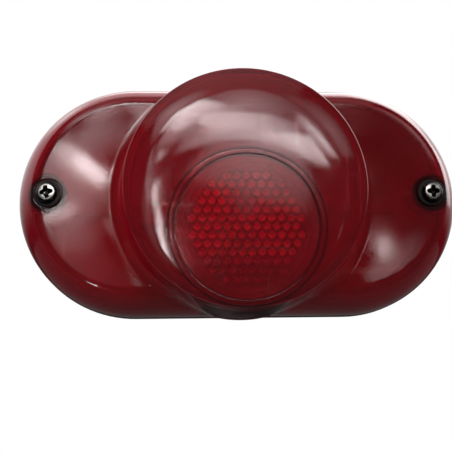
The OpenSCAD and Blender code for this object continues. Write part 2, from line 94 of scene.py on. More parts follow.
# Heights above the mounting face: the posts' tops, the counterbores' floors and the undersides of the heads
POST_H = 30.05
COUNTERBORE_H = 34.4
UNDER_HEAD = 35.5

# Roundings that the moulding has and the plain solids lack
EDGE_ROUND = 1.1
CREASE_ROUND = 0.8
RIM_ROUND = 0.5
RING_ROUND = 0.44
SLAB_ROUND = 0.18

# How far from a rounding the flat beside it has its first point, so that its shading stays flat
GUARD = 0.05

# How the skin is followed: the step over which a slope is measured, the least slope that is divided by, the
# longest move in one round, the stride from point to point, and the length and turn between two rows
PROBE = 0.002
LEAST_SLOPE = 0.2
LONGEST_MOVE = 3
STRIDE = 0.45
LONGEST_TRAIL = 400
ROW_LENGTH = 1.6
ROW_TURN = math.radians(5)

# How much closer together the face's rows are towards the drum's rim
NEAR_RIM_SHIFT = 0.12

# Facets round a full circle, and rows on the lens's face and down its side
SCREW_SEGMENTS = 96
DISC_SEGMENTS = 192
RING_SEGMENTS = 256
OUTSIDE_ROWS = {"columns": 384, "face_rows": 40, "side_rows": 90}
INSIDE_ROWS = {"columns": 192, "face_rows": 24, "side_rows": 50}

SKIRT_R = (SKIRT_H**2 + SKIRT_IN**2) / (2 * SKIRT_IN)
SKIRT_Q = END_R - SKIRT_R
CREASE_Q = END_R - SKIRT_IN
CROWN_R = (CREASE_Q**2 + CROWN**2) / (2 * CROWN)
CROWN_H = SKIRT_H + CROWN - CROWN_R
DISC_BACK = RING_STEP - DISC_T
TILT_COS, TILT_SIN = math.cos(DISC_TILT), math.sin(DISC_TILT)


# Shapes as signed distances


def round_max(a, b, k):
    """The larger of two distances, with the edge between their surfaces rounded by k."""
    return np.minimum(-k, np.maximum(a, b)) + np.hypot(np.maximum(k + a, 0), np.maximum(k + b, 0))


def pill(p, wall):
    """The body: a bulging skirt round two half circles, with a slightly crowned top."""
    q = np.hypot(np.maximum(np.abs(p[0]) - END_X, 0), p[1])
    skirt = np.hypot(np.maximum(q - SKIRT_Q, 0), np.maximum(p[2], 0)) - SKIRT_R + wall
    crown = np.hypot(q, p[2] - CROWN_H) - CROWN_R + wall
    return round_max(skirt, crown, EDGE_ROUND)


def on_disc(p):
    """How far up the reflector's plane points are from its axis, and their height above the plane."""
    v, h = p[1] + DISC_DROP, p[2] - DISC_H
    return v * TILT_COS + h * TILT_SIN, h * TILT_COS - v * TILT_SIN


def drum(p, wall):
    """The round part: drafted side, sloping shoulder and domed face."""
    r = np.hypot(p[0], p[1] + DRUM_DROP)
    side = r - DRUM_R - DRAFT * (1 - p[2] / DRUM_H) + wall
    slope = (p[2] - DRUM_H - (DRUM_R - r) * math.tan(SHOULDER)) * math.cos(SHOULDER) + wall
    across, height = on_disc(p)
    past_ring = np.maximum(np.hypot(p[0], across) - RING_R - RING_STEP, 0)
    dome = np.hypot(past_ring, height + DOME_R) - DOME_R + wall
    return round_max(side, round_max(slope, dome, CREASE_ROUND), RIM_ROUND)


def slope_of(shape, p, wall):
    """The unit direction in which a distance grows."""
    grad = [shape(p + PROBE * axis, wall) - shape(p - PROBE * axis, wall) for axis in np.eye(3)[:, :, None]]
    grad = np.array(grad) / (2 * PROBE)
    return grad / np.maximum(np.linalg.norm(grad, axis=0), 1e-9)


def skin(p, wall):
    """The lens's surface, wall deep: pill and drum with a rolling-ball fillet between them."""
    a, b = pill(p, wall), drum(p, wall)
    turn = 1 - np.sum(slope_of(pill, p, wall) * slope_of(drum, p, wall), axis=0)
    k = (FOOT_R + wall) * np.clip(turn, 0, 1)
    return np.maximum(k, np.minimum(a, b)) - np.hypot(np.maximum(k - a, 0), np.maximum(k - b, 0))


# The lens's skin as a closed mesh


def polar(r, theta, h):
    """Points at a radius and angle round the drum's axis."""
    return np.array([r * np.cos(theta), r * np.sin(theta) - DRUM_DROP, h])


def settle(p, wall, along, rounds=4):
    """Moves points along a direction until they lie on the skin."""
    for _ in range(rounds):
        f = skin(p, wall)
        df = (skin(p + PROBE * along, wall) - f) / PROBE
        df = np.where(np.abs(df) < LEAST_SLOPE, LEAST_SLOPE * np.sign(df + 1e-9), df)
        p = p - along * np.clip(f / df, -LONGEST_MOVE, LONGEST_MOVE)
    return p


def traced_profile(theta, wall, rows, start_r, floor_h):
    """Follows the skin from the drum's rim down to floor_h at each angle, with more points where it bends."""
    out = np.array([np.cos(theta), np.sin(theta), 0 * theta])
    up = np.array([0 * theta, 0 * theta, 1 + 0 * theta])
    p = settle(polar(start_r, theta, DRUM_H + 0 * theta), wall, up)
    trail, turns = [p], [0 * theta]
    last = None
    while len(trail) < LONGEST_TRAIL and np.any(trail[-1][2] > floor_h - 1):
        for _ in range(3):
            f = skin(p, wall)
            g_out = (skin(p + PROBE * out, wall) - f) / PROBE
            g_up = (skin(p + PROBE * up, wall) - f) / PROBE
            size = np.maximum(np.hypot(g_out, g_up), LEAST_SLOPE)
            g_out, g_up = g_out / size, g_up / size
            p = p - (out * g_out + up * g_up) * f / size
        heading = np.arctan2(g_out, g_up)
        turns.append(0 * theta if last is None else np.abs(heading - last))
        last = heading
        p = p + STRIDE * (out * g_up - up * g_out)
        trail.append(p)
    trail, turns = np.array(trail), np.array(turns)
    columns = []
    for k in range(len(theta)):
        path = trail[:, :, k]
        end = int(np.argmax(path[:, 2] < floor_h))
        share = (path[end - 1, 2] - floor_h) / (path[end - 1, 2] - path[end, 2])
        path = np.vstack([path[:end], path[end - 1] + share * (path[end] - path[end - 1])])
        bend = np.convolve(turns[: end + 1, k], np.ones(5) / 5, mode="same")
        weight = np.linalg.norm(np.diff(path, axis=0), axis=1) / ROW_LENGTH + bend[1:] / ROW_TURN
        reach = np.concatenate([[0], np.cumsum(weight)])
        wanted = np.linspace(0, reach[-1], rows)
        columns.append(np.array([np.interp(wanted, reach, path[:, i]) for i in range(3)]))
    grid = np.array(columns).transpose(1, 2, 0)
    for _ in range(3):
        inner = grid[:, 1:-1]
        flat = inner.reshape(3, -1)
        normal = slope_of(skin, flat, wall)
        grid[:, 1:-1] = (flat - normal * skin(flat, wall)).reshape(inner.shape)
    return grid


def skin_mesh(name, wall, floor_h, columns, face_rows, side_rows):
    """The skin, wall deep, as a closed mesh with a flat floor: rows on the face, then rows down the side."""
    theta = np.linspace(0, 2 * math.pi, columns, endpoint=False)
    start_r = DRUM_R - RIM_ROUND - GUARD - wall
    side = traced_profile(theta, wall, side_rows, start_r, floor_h)
    rim = side[:, 0]
    hub = np.array([0.0, -DISC_DROP, 0.0])[:, None]
    share = np.linspace(0, 1, face_rows + 1)[:-1]
    share = share + NEAR_RIM_SHIFT * np.sin(math.pi * share) * share
    face = [hub + s * (rim - hub) for s in share[1:]]
    face = np.array(face).transpose(1, 0, 2)
    face[2] = DISC_H - wall
    flat = face.reshape(3, -1)
    up = np.array([[0.0], [0.0], [1.0]]) + 0 * flat
    face = settle(flat, wall, up, rounds=6).reshape(face.shape)
    grid = np.concatenate([face, side], axis=1)
    rows = grid.shape[1]
    top = settle(np.array([[0.0], [-DISC_DROP], [DISC_H - wall]]), wall, up[:, :1], rounds=6)
    points = np.concatenate([grid.reshape(3, -1), top, [[0.0], [0.0], [floor_h]]], axis=1).T
    hub_at, floor_at = rows * columns, rows * columns + 1
    faces = []
    for k in range(columns):
        n = (k + 1) % columns
        faces.append((hub_at, k, n))
        faces += [(r * columns + k, (r + 1) * columns + k, (r + 1) * columns + n, r * columns + n)
                  for r in range(rows - 1)]
        faces.append((floor_at, (rows - 1) * columns + n, (rows - 1) * columns + k))
    return mesh_object(name, from_lens(points), faces)


def from_lens(points):
    """Lens coordinates in millimetres to the frame's metres."""
    points = np.asarray(points)
    return np.stack([points[:, 0], -(SEAT + points[:, 2]), points[:, 1]], axis=1) * MM


def to_lens(points):
    """The frame's metres to lens coordinates in millimetres, one row for each."""
    points = np.asarray(points) / MM
    return np.stack([points[:, 0], points[:, 2], -points[:, 1] - SEAT])


def mesh_object(name, points, faces):
    """An object in the scene, with its faces' normals turned outwards."""
    mesh = bpy.data.meshes.new(name)
    mesh.from_pydata([tuple(p) for p in points], [], faces)
    mesh.validate()
    obj = bpy.data.objects.new(name, mesh)
    bpy.context.scene.collection.objects.link(obj)
    work = bmesh.new()
    work.from_mesh(mesh)
    bmesh.ops.recalc_face_normals(work, faces=work.faces)
    work.to_mesh(mesh)
    work.free()
    return obj


# Building blocks


def turned(name, profile, segments, place, closed=False):
    """A solid of revolution. The profile is (radius, height) pairs, from axis to axis or, when closed, a loop
    clear of the axis. place turns an N by 3 array of points into lens coordinates."""
    theta = np.linspace(0, 2 * math.pi, segments, endpoint=False)
    points, rings = [], []
    for r, h in profile:
        if r < 1e-6:
            rings.append([len(points)] * segments)
            points.append((0.0, 0.0, h))
        else:
            rings.append(list(range(len(points), len(points) + segments)))
            points += [(r * math.cos(a), r * math.sin(a), h) for a in theta]
    faces = []
    pairs = list(zip(rings, rings[1:] + rings[:1])) if closed else list(zip(rings, rings[1:]))
    for low, high in pairs:
        for k in range(segments):
            n = (k + 1) % segments
            corners = []
            for c in (low[k], low[n], high[n], high[k]):
                if c not in corners:
                    corners.append(c)
            if len(corners) > 2:
                faces.append(corners)
    return mesh_object(name, from_lens(place(np.array(points))), faces)


def stacked(rings, width):
    """The faces of a closed solid whose points come in rings of so many, one ring after the other."""
    faces = []
    for low in range(0, (rings - 1) * width, width):
        for k in range(width):
            n = (k + 1) % width
            faces.append((low + k, low + n, low + width + n, low + width + k))
    return faces + [tuple(range(width)), tuple(reversed(range((rings - 1) * width, rings * width)))]


def at_disc(points):
    """Points in the reflector's own coordinates, moved to lens coordinates."""
    v = points[:, 1] * TILT_COS - points[:, 2] * TILT_SIN - DISC_DROP
    h = points[:, 1] * TILT_SIN + points[:, 2] * TILT_COS + DISC_H
    return np.stack([points[:, 0], v, h], axis=1)


def at_screw(x, height=0.0):
    """Moves points to a screw's axis, with their zero at a height above the mounting face."""
    return lambda points: points + np.array([x, 0.0, height - SEAT])


def arc(r, h, radius, start, end, steps=6):
    """Profile points on an arc round (r, h), angles in degrees from the outward direction."""
    return [(r + radius * math.cos(math.radians(a)), h + radius * math.sin(math.radians(a)))
            for a in np.linspace(start, end, steps + 1)]


def baked(obj):
    """Replaces an object's mesh by what its modifiers make of it."""
    bpy.context.view_layer.update()
    graph = bpy.context.evaluated_depsgraph_get()
    mesh = bpy.data.meshes.new_from_object(obj.evaluated_get(graph))
    old = obj.data
    obj.modifiers.clear()
    obj.data = mesh
    bpy.data.meshes.remove(old)
    return obj


def combine(obj, other, operation):
    """Joins, cuts or intersects an object with another, which is used up."""
    mod = obj.modifiers.new(operation, "BOOLEAN")
    mod.operation = operation
    mod.solver = "MANIFOLD"
    mod.object = other
    baked(obj)
    bpy.data.objects.remove(other)
    return obj


def smooth(obj, degrees=28.0):
    """Smooth shading, but for edges sharper than an angle."""
    obj.data.shade_smooth()
    obj.data.set_sharp_from_angle(angle=math.radians(degrees))


def read(collection, what, width=1, kind=float):
    """One value, or a row of them, of each item of a mesh's collection."""
    values = np.zeros(len(collection) * width, dtype=kind)
    collection.foreach_get(what, values)
    return values.reshape(-1, width) if width > 1 else values


def skin_shaded(obj, walls=(0.0, WALL), near_by=0.03, facing=0.6):
    """Gives faces on the skin its own normals, so that cuts leave no trace in the reflections."""
    mesh = obj.data
    smooth(obj)
    normals = read(mesh.corner_normals, "vector", 3)
    places = to_lens(read(mesh.vertices, "co", 3))
    at = read(mesh.loops, "vertex_index", kind=int)
    flat = np.repeat(read(mesh.polygons, "normal", 3), read(mesh.polygons, "loop_total", kind=int), axis=0)
    for wall in walls:
        near = np.abs(skin(places, wall)) < near_by
        near &= places[2] > 0.01
        n = slope_of(skin, places[:, near], wall)
        n = np.stack([n[0], -n[2], n[1]], axis=1)
        if wall > 0:
            n = -n
        row = np.full(len(near), -1)
        row[near] = np.arange(int(near.sum()))
        which = row[at]
        hit = which >= 0
        hit[hit] = np.sum(n[which[hit]] * flat[hit], axis=1) > facing
        normals[hit] = n[which[hit]]
    mesh.normals_split_custom_set([tuple(v) for v in normals])


# The lens: skins joined with the reflector's ring, then hollowed and cut as in the part's source


def plug(radius, low, high):
    """The profile of a plain cylinder. One that cuts reaches past what it cuts."""
    return [(0, low), (radius, low), (radius, high), (0, high)]


def hollow():
    """The lens's inside: its skin one wall deep, less the screws' bosses and the reflector's ledge."""
    cavity = skin_mesh("cavity", WALL, -1.0, **INSIDE_ROWS)
    for x in (-SCREW_X, SCREW_X):
        boss = turned("boss", plug(BOSS_R, POST_H + GAP, POST_H + 12), SCREW_SEGMENTS, at_screw(x))
        combine(cavity, boss, "DIFFERENCE")
    ledge = turned("ledge", plug(LEDGE_OUT, DISC_BACK - LEDGE_T, 20), DISC_SEGMENTS, at_disc)
    return combine(cavity, ledge, "DIFFERENCE")


def window_block(name, gap):
    """The sector of the drum's underside that the window fills, shrunk by a gap."""
    half = WINDOW_HALF - gap / DRUM_R
    angles = np.linspace(-math.pi / 2 - half, -math.pi / 2 + half, 33)
    low, high = WINDOW_EDGE + gap, WINDOW_EDGE + WINDOW_LEN - gap
    near, far = DRUM_R - WALL + gap / 2, DRUM_R + WALL
    points = []
    for r, h in ((near, low), (far, low), (far, high), (near, high)):
        points += [(r * math.cos(a), r * math.sin(a) - DRUM_DROP, h) for a in angles]
    n = len(angles)
    faces = [(i * n + k, i * n + k + 1, (i + 1) % 4 * n + k + 1, (i + 1) % 4 * n + k)
             for i in range(4) for k in range(n - 1)]
    faces += [(0, n, 2 * n, 3 * n), (n - 1, 4 * n - 1, 3 * n - 1, 2 * n - 1)]
    return mesh_object(name, from_lens(points), faces)


def ring_profile(inner_r, outer_r):
    """The raised ring round the reflector: rounded outside and, half as much, inside."""
    inner_round = RING_ROUND / 2
    loop = [(inner_r, -2.2), (outer_r, -2.2)]
    loop += arc(outer_r - RING_ROUND, RING_STEP - RING_ROUND, RING_ROUND, 0, 90)
    loop += [(outer_r - RING_ROUND - GUARD, RING_STEP), (inner_r + inner_round + GUARD, RING_STEP)]
    return loop + arc(inner_r + inner_round, RING_STEP - inner_round, inner_round, 90, 180)


def bore_profile():
    """A screw's hole and its counterbore, whose mouth flares."""
    bore = [(0, POST_H - 1), (BORE_R, POST_H - 1), (BORE_R, COUNTERBORE_H), (COUNTERBORE_R, COUNTERBORE_H)]
    bore += [(COUNTERBORE_R, COUNTERBORE_H + 0.45), (COUNTERBORE_R + 0.35, COUNTERBORE_H + 0.85)]
    return bore + [(COUNTERBORE_R + 0.5, 40), (0, 40)]


def make_lens():
    """The lens and the pane that fills the window in the drum's underside."""
    lens = skin_mesh("lens_moulding", 0.0, 0.0, **OUTSIDE_ROWS)
    window = window_block("window_pane", GAP)
    pane_skin = lens.copy()
    pane_skin.data = lens.data.copy()
    bpy.context.scene.collection.objects.link(pane_skin)
    combine(window, pane_skin, "INTERSECT")
    inner_r, outer_r = DISC_R + GAP, RING_R + 0.1
    ring = turned("ring", ring_profile(inner_r, outer_r), RING_SEGMENTS, at_disc, closed=True)
    combine(lens, ring, "UNION")
    combine(lens, hollow(), "DIFFERENCE")
    for x in (-SCREW_X, SCREW_X):
        combine(lens, turned("bore", bore_profile(), SCREW_SEGMENTS, at_screw(x)), "DIFFERENCE")
    recess = turned("recess", plug(inner_r + 0.01, DISC_BACK, 3), RING_SEGMENTS, at_disc)
    combine(lens, recess, "DIFFERENCE")
    combine(lens, turned("well", plug(LEDGE_R, -17, 3), DISC_SEGMENTS, at_disc), "DIFFERENCE")
    combine(lens, window_block("window_cut", 0.0), "DIFFERENCE")
    skin_shaded(lens)
    skin_shaded(window, (0.0,))
    return lens, window


# The reflector: a clear slab with hexagonal cube-corner prisms on its back


PRISM_W = 3.2
FIELD_R = 17.9
CELL_R = PRISM_W / math.sqrt(3)
NEAR_RIM = PRISM_W / math.sqrt(6)
FAR_RIM = 2 * NEAR_RIM
PRISM_ROOT = 0.15
PRISM_TIP = DISC_BACK - FAR_RIM - PRISM_ROOT
PRISM_IN_SLAB = 0.5
RIM_SPARK = 0.24

# From a prism's middle to its six corners, in half widths and half cell radii
CORNER_STEPS = [(1, 1), (0, 2), (-1, 1), (-1, -1), (0, -2), (1, -1)]


def prism_cells():
    """The prisms' middles, in half widths and half cell radii."""
    reach = int(FIELD_R / PRISM_W) + 2
    for j in range(-reach, reach + 1):
        for i in range(-2 * reach, 2 * reach + 1):
            middle = (2 * i + j, 3 * j)
            if math.hypot(middle[0] * PRISM_W / 2, middle[1] * CELL_R / 2) <= FIELD_R:
                yield middle


def make_reflector():
    """The slab's back is one sheet: prisms in the middle, flat round them. Its mesh is closed."""
    profile = [(r, RING_STEP) for r in (0, 6, 12, 18, 21.5, DISC_R - SLAB_ROUND - GUARD)]
    profile += arc(DISC_R - SLAB_ROUND, RING_STEP - SLAB_ROUND, SLAB_ROUND, 90, 0)
    profile += [(DISC_R, DISC_BACK), (0, DISC_BACK)]
    slab = turned("reflector_slab", profile, DISC_SEGMENTS, at_disc)
    points, index, faces = [], {}, []

    def at(q, h):
        key = (q[0], q[1], round(h, 4))
        if key not in index:
            index[key] = len(points)
            points.append((q[0] * PRISM_W / 2, q[1] * CELL_R / 2, PRISM_TIP + h))
        return index[key]

    cells = list(prism_cells())
    known = set(cells)
    roof = FAR_RIM + PRISM_ROOT + PRISM_IN_SLAB
    for cell in cells:
        rim = [(cell[0] + dx, cell[1] + dy) for dx, dy in CORNER_STEPS]
        low = [at(q, NEAR_RIM if k % 2 == 0 else FAR_RIM) for k, q in enumerate(rim)]
        high = [at(q, roof) for q in rim]
        foot = at(cell, 0.0)
        for k in (0, 2, 4):
            faces.append((foot, low[k], low[k + 1], low[(k + 2) % 6]))
        faces.append(tuple(reversed(high)))
        for k in range(6):
            n = (k + 1) % 6
            neighbour = (rim[k][0] + rim[n][0] - cell[0], rim[k][1] + rim[n][1] - cell[1])
            if neighbour not in known:
                faces.append((low[k], high[k], high[n], low[n]))
    prisms = mesh_object("prisms", from_lens(at_disc(np.array(points))), faces)
    combine(slab, prisms, "UNION")
    smooth(slab, 20.0)
    return slab


def mark_facets(mesh):
    """Gives the prisms' facets the second material, and each corner its painted highlight: full at the tip,
    fading upwards and dark below, as a cube corner shows when it is seen a little from below."""
    across, height = on_disc(to_lens(read(mesh.vertices, "co", 3)))
    spark = mesh.attributes.new("spark", "FLOAT", "CORNER")
    values = np.zeros(len(mesh.loops))
    for face in mesh.polygons:
        feet = [i for i in face.vertices if height[i] < PRISM_TIP + 0.05]
        if not feet:
            continue
        face.material_index = 1
        foot = feet[0]
        for loop in face.loop_indices:
            i = mesh.loops[loop].vertex_index
            if i == foot:
                values[loop] = 1.0
            else:
                values[loop] = RIM_SPARK + RIM_SPARK * (across[i] - across[foot]) / CELL_R
    spark.data.foreach_set("value", values)


# Fasteners


HEAD_R = 3.6
HEAD_H = 2.5
HEAD_SIDE_H = 0.85
RECESS_R = 2.45
# how dark the head's side is painted as shade, and how dark the rod is with grime
SIDE_SHADE = 0.88
ROD_GRIME = 0.3
THREAD_R = 2.0
THREAD_PITCH = 0.7
THREAD_DEPTH = 0.42
ROD_LEN = 14.0
ROD_PLAIN = 1.2
ROD_IN_HEAD = 0.3
ROD_END_R = 1.25

# The cross recess, level by level: depth, and an arm's reach, half width and inner corner
CROSS_LEVELS = [(-0.6, 2.5, 0.72, 1.1), (0.0, 2.3, 0.64, 1.0), (0.15, 2.2, 0.6, 0.94), (0.6, 1.9, 0.54, 0.82),
                (1.3, 1.2, 0.45, 0.6), (1.7, 0.4, 0.3, 0.34)]


def cross_cutter(name, turn, place):
    """A cross recess: four arms that narrow with depth."""
    rings = []
    for depth, reach, width, corner in CROSS_LEVELS:
        ring = []
        for arm in range(4):
            a = math.radians(turn + 90 * arm)
            for x, y in ((reach, -width), (reach + 0.08, 0.0), (reach, width), (corner, corner)):
                ring.append((x * math.cos(a) - y * math.sin(a), x * math.sin(a) + y * math.cos(a), -depth))
        rings.append(ring)
    points = np.array([p for ring in rings for p in ring])
    return mesh_object(name, from_lens(place(points)), stacked(len(rings), len(rings[0])))


def threaded_rod(name, place):
    """A right-handed thread with flat crests, running out under the head and at the chamfered end."""
    columns, per_turn = 48, 10
    rows = int(ROD_LEN / THREAD_PITCH * per_turn) + 1
    theta = np.linspace(0, 2 * math.pi, columns, endpoint=False)
    levels = np.linspace(-ROD_LEN, ROD_IN_HEAD, rows)
    points = []
    for level in levels:
        phase = (level / THREAD_PITCH - theta / (2 * math.pi)) % 1.0
        flank = np.clip(np.abs(phase - 0.5) * 2.5 - 0.2, 0, 1)
        depth = THREAD_DEPTH * np.clip(-(level + ROD_PLAIN) / THREAD_PITCH, 0, 1)
        r = np.minimum(THREAD_R - depth * (1 - flank) - 0.02, ROD_END_R + (level + ROD_LEN) * 0.8)
        points.append(np.stack([r * np.cos(theta), r * np.sin(theta), 0 * theta + level], axis=1))
    points = np.concatenate(points + [np.array([[0, 0, -ROD_LEN], [0, 0, ROD_IN_HEAD]])])
    low, high = rows * columns, rows * columns + 1
    faces = []
    for k in range(columns):
        n = (k + 1) % columns
        faces += [(i * columns + k, i * columns + n, (i + 1) * columns + n, (i + 1) * columns + k)
                  for i in range(rows - 1)]
        faces += [(low, n, k), (high, (rows - 1) * columns + k, (rows - 1) * columns + n)]
    return mesh_object(name, from_lens(place(points)), faces)


def make_screw(name, x, turn):
    """A pan head with its cross recess turned by some degrees, on a threaded rod."""
    under_head = at_screw(x, UNDER_HEAD)
    profile = [(0, 0), (3.45, 0), (HEAD_R, 0.12), (HEAD_R, HEAD_SIDE_H)]
    profile += [(HEAD_R - 1.5 * (1 - math.cos(a)), HEAD_SIDE_H + 1.55 * math.sin(a))
                for a in np.linspace(0.12, 1.3, 9)]
    profile += [(1.6, 2.44), (0.8, 2.49), (0, HEAD_H)]
    head = turned(name, profile, SCREW_SEGMENTS, under_head)
    combine(head, cross_cutter("recess", turn, at_screw(x, UNDER_HEAD + HEAD_H)), "DIFFERENCE")
    combine(head, threaded_rod("rod", under_head), "UNION")
    smooth(head, 32)
    mark_shade_and_grime(head.data, x)
    return head


def mark_shade_and_grime(mesh, x):
    """How dark each part of a screw is painted: black in the recess and dark down the head's side as painted
    shade, and a little dark on the rod with grime.
    """
    u, v, h = to_lens(read(mesh.vertices, "co", 3))
    r, depth = np.hypot(u - x, v), UNDER_HEAD - SEAT + HEAD_H - h
    shade_and_grime = mesh.attributes.new("shade_and_grime", "FLOAT", "POINT")
    # painted shade: dark down the head's side and black in the recess
    values = np.clip((r - RECESS_R) / 0.6, 0, SIDE_SHADE)
    values = np.where((r < RECESS_R) & (depth > 0.3), 1.0, values)
    shade_and_grime.data.foreach_set("value", np.where(depth > HEAD_H + 0.1, ROD_GRIME, values))


def make_washer(name, x):
    """A rubber sealing ring with a rolled outer edge, at the bottom of the counterbore."""
    profile = arc(4.45, 0.36, 0.34, -90, 0, 5) + arc(4.4, 0.72, 0.38, 0, 90, 5) + [(4.0, 1.1), (2.35, 1.1)]
    profile += [(2.18, 0.95), (2.18, 0.12), (2.3, 0.02)]
    ring = turned(name, profile, SCREW_SEGMENTS, at_screw(x, COUNTERBORE_H), closed=True)
    smooth(ring, 40)
    return ring


def tube(name, path, radius, sides):
    """A round wire along a path of points in the frame's metres, closed at both ends."""
    path = np.asarray(path)
    tangent = np.gradient(path, axis=0)
    tangent /= np.linalg.norm(tangent, axis=1)[:, None]
    side = np.cross(tangent[0], (0.3, 0.5, 0.81))
    points = []
    for p, t in zip(path, tangent):
        side = side - t * np.dot(side, t)
        side /= np.linalg.norm(side)
        other = np.cross(t, side)
        for k in range(sides):
            a = 2 * math.pi * k / sides
            points.append(p + radius * (side * math.cos(a) + other * math.sin(a)))
    made = mesh_object(name, points, stacked(len(path), sides))
    smooth(made, 50)
    return made


def room_for_coil(node, wire):
    """The box of the plain node that a coil stands for, its middle, and the radius to the wire's middle."""
    low, high = (Vector(corner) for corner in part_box(node))
    return low, high, (low + high) / 2, (high.z - low.z) / 2 - wire


def make_filament(name, node, turns, wire):
    """A coil along X that fills its plain node's box."""
    low, high, middle, reach = room_for_coil(node, wire)
    u = np.linspace(0, 1, turns * 12 + 1)
    a = 2 * math.pi * turns * u
    x = low.x + wire + (high.x - low.x - 2 * wire) * u
    path = np.stack([x, middle.y + reach * np.cos(a), middle.z + reach * np.sin(a)], axis=1)
    return tube(name, path, wire, 8)


def make_spring(name, node, turns, wire):
    """The lamp holder's spring along Y in its plain node's box, with flat turns at both ends."""
    low, high, middle, reach = room_for_coil(node, wire)
    u = np.linspace(0, 1, int(turns * 24) + 1)
    flat = 0.6 / turns
    rise = np.clip((u - flat) / (1 - 2 * flat), 0, 1)
    a = 2 * math.pi * turns * u
    y = high.y - wire - (high.y - low.y - 2 * wire) * rise
    path = np.stack([middle.x + reach * np.cos(a), y, middle.z + reach * np.sin(a)], axis=1)
    return tube(name, path, wire, 12)


# Materials: each one is a Principled shader with procedural variation


EASED = {"interpolation_type": "SMOOTHSTEP"}


def add_node(tree, kind, values=None, **props):
    """A shader node with its properties set and its inputs set or linked."""
    made = tree.nodes.new(kind)
    for key, value in props.items():
        setattr(made, key, value)
    for key, value in (values or {}).items():
        if isinstance(value, bpy.types.NodeSocket):
            tree.links.new(value, made.inputs[key])
        else:
            made.inputs[key].default_value = value
    return made


def add_ramp(tree, value, low=0.0, high=1.0, start=0.0, end=1.0, **props):
    """A value's way from low to high, as a way from start to end."""
    values = {"Value": value, "From Min": low, "From Max": high, "To Min": start, "To Max": end}
    return add_node(tree, "ShaderNodeMapRange", values, **props).outputs["Result"]


class Finish:
    """A material under construction. Its place is the object's own coordinates."""

    def __init__(self, name, colour, roughness, metallic=0.0, **sockets):
        self.name = name
        self.mat = bpy.data.materials.new(name)
        self.mat.use_nodes = True
        self.tree = self.mat.node_tree
        self.bsdf = self.tree.nodes["Principled BSDF"]
        self.colour = (*colour, 1.0)
        self.bsdf.inputs["Base Color"].default_value = self.colour
        self.bsdf.inputs["Roughness"].default_value = roughness
        self.bsdf.inputs["Metallic"].default_value = metallic
        for socket, value in sockets.items():
            self.bsdf.inputs[socket.replace("_", " ")].default_value = value
        self.place = self.node("ShaderNodeTexCoord").outputs["Object"]
        self.bumps = None

    def node(self, kind, values=None, **props):
        return add_node(self.tree, kind, values, **props)

    def ramp(self, *ends, **props):
        return add_ramp(self.tree, *ends, **props)

    def math(self, operation, *values):
        return self.node("ShaderNodeMath", dict(enumerate(values)), operation=operation).outputs[0]

    def hypot(self, a, b):
        return self.math("SQRT", self.math("ADD", self.math("POWER", a, 2.0), self.math("POWER", b, 2.0)))

    def xyz(self):
        """The place's three coordinates, in metres."""
        return self.node("ShaderNodeSeparateXYZ", {"Vector": self.place}).outputs

    def noise(self, scale, detail=3.0, low=0.4, high=0.6, stretch=None):
        """Noise of so many cells to the metre, spread to 0..1 between low and high."""
        place = self.place
        if stretch:
            place = self.node("ShaderNodeMapping", {"Vector": place, "Scale": stretch}).outputs[0]
        tex = self.node("ShaderNodeTexNoise", {"Vector": place, "Scale": scale, "Detail": detail})
        return self.ramp(tex.outputs["Fac"], low, high)

    def dots(self, scale, core, rim):
        """One soft dot to a cell, of so many cells to the metre."""
        tex = self.node("ShaderNodeTexVoronoi", {"Vector": self.place, "Scale": scale})
        return self.ramp(tex.outputs["Distance"], core, rim, 1.0, 0.0)

    def link(self, socket, name):
        self.tree.links.new(socket, self.bsdf.inputs[name])
        return self

    def tint(self, factor, colour):
        """Mixes a colour into what the base colour is so far."""
        was = self.bsdf.inputs["Base Color"]
        before = was.links[0].from_socket if was.is_linked else self.colour
        mix = self.node("ShaderNodeMix", {"Factor": factor, 6: before, 7: (*colour, 1.0)}, data_type="RGBA")
        return self.link(mix.outputs[2], "Base Color")

    def between(self, name, factor, low, high):
        """A socket that runs from low to high with a factor."""
        return self.link(self.ramp(factor, start=low, end=high), name)

    def bump(self, height, distance, strength=1.0):
        """Adds to the bumps there are so far."""
        values = {"Height": height, "Distance": distance, "Strength": strength}
        if self.bumps:
            values["Normal"] = self.bumps
        self.bumps = self.node("ShaderNodeBump", values).outputs["Normal"]
        return self.link(self.bumps, "Normal")

    def lets_lamps_through(self, colour):
        """Shadow rays pass with a tint, so that lamps light what is inside."""
        rays = self.node("ShaderNodeLightPath").outputs["Is Shadow Ray"]
        clear = self.node("ShaderNodeBsdfTransparent", {"Color": (*colour, 1.0)}).outputs[0]
        mix = self.node("ShaderNodeMixShader", {0: rays, 1: self.bsdf.outputs[0], 2: clear})
        out = self.tree.nodes["Material Output"]
        self.tree.links.new(mix.outputs[0], out.inputs["Surface"])
        return self


def paint(obj, *finishes):
    """Gives an object these materials in place of those it has."""
    if len(obj.data.materials):
        obj.data.materials.clear()
    for finish in finishes:
        obj.data.materials.append(finish.mat)


def wear_on_edges(finish, radius, colour, amount):
    """Rubbed edges: where the surface turns sharply within the radius."""
    bevel = finish.node("ShaderNodeBevel", {"Radius": radius}, samples=4)
    normal = finish.node("ShaderNodeNewGeometry").outputs["Normal"]
    dot = finish.node("ShaderNodeVectorMath", {0: bevel.outputs[0], 1: normal}, operation="DOT_PRODUCT")
    edge = finish.ramp(dot.outputs["Value"], 0.97, 0.85, end=amount)
    broken = finish.math("MULTIPLY", edge, finish.noise(600, 4, 0.35, 0.6))
    return finish.tint(broken, colour)


def scratches(finish, scale, along, gaps):
    """Fine straight scratches: thin threads of stretched noise, broken up by a slower one."""
    thread = finish.noise(scale, 2.0, 0.64, 0.72, stretch=along)
    return finish.math("MULTIPLY", thread, finish.noise(45, 3.0, gaps, gaps + 0.12))


